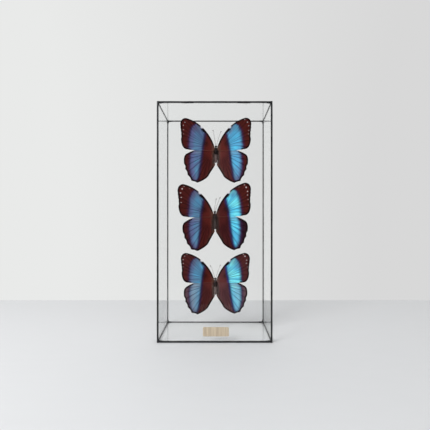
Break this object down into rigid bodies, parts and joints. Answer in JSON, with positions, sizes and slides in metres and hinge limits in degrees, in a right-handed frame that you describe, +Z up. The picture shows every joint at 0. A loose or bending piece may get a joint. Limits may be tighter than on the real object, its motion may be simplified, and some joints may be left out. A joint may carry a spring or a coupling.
{
  "type": "framed butterfly specimen",
  "caption": "Clear glass display box with thin black soldered edges holding spread blue-band butterflies one above another, with a plain label plate low on the front.",
  "frame": {"origin": "the middle of the underside, on the surface that the box stands on", "axes": "+Z up, the front with the label plate faces -Y, +X to the right as seen from the front"},
  "size_m": [0.144, 0.072, 0.3],
  "materials": {
    "edge_metal": "blackened solder, low sheen",
    "pane_glass": "clear polished glass",
    "label_metal": "brushed pale gold",
    "clear_acrylic": "clear polished acrylic",
    "insect_body": "dry, hairy, black brown",
    "wing_scales": "scaled, red brown with an iridescent blue band"
  },
  "bodies": {
    "root": {"post_front_left": "edge_metal", "post_front_right": "edge_metal", "post_back_left": "edge_metal", "post_back_right": "edge_metal", "rail_front_bottom": "edge_metal", "rail_back_bottom": "edge_metal", "rail_left_bottom": "edge_metal", "rail_right_bottom": "edge_metal", "rail_front_top": "edge_metal", "rail_back_top": "edge_metal", "rail_left_top": "edge_metal", "rail_right_top": "edge_metal", "pane_front": "pane_glass", "pane_back": "pane_glass", "pane_left": "pane_glass", "pane_right": "pane_glass", "pane_top": "pane_glass", "pane_bottom": "pane_glass", "label_plate": "label_metal", "top_body": "insect_body", "top_forewing_left": "wing_scales", "top_forewing_right": "wing_scales", "top_hindwing_left": "wing_scales", "top_hindwing_right": "wing_scales", "top_peg": "clear_acrylic", "middle_body": "insect_body", "middle_forewing_left": "wing_scales", "middle_forewing_right": "wing_scales", "middle_hindwing_left": "wing_scales", "middle_hindwing_right": "wing_scales", "middle_peg": "clear_acrylic", "bottom_body": "insect_body", "bottom_forewing_left": "wing_scales", "bottom_forewing_right": "wing_scales", "bottom_hindwing_left": "wing_scales", "bottom_hindwing_right": "wing_scales", "bottom_peg": "clear_acrylic"}
  },
  "joints": []
}
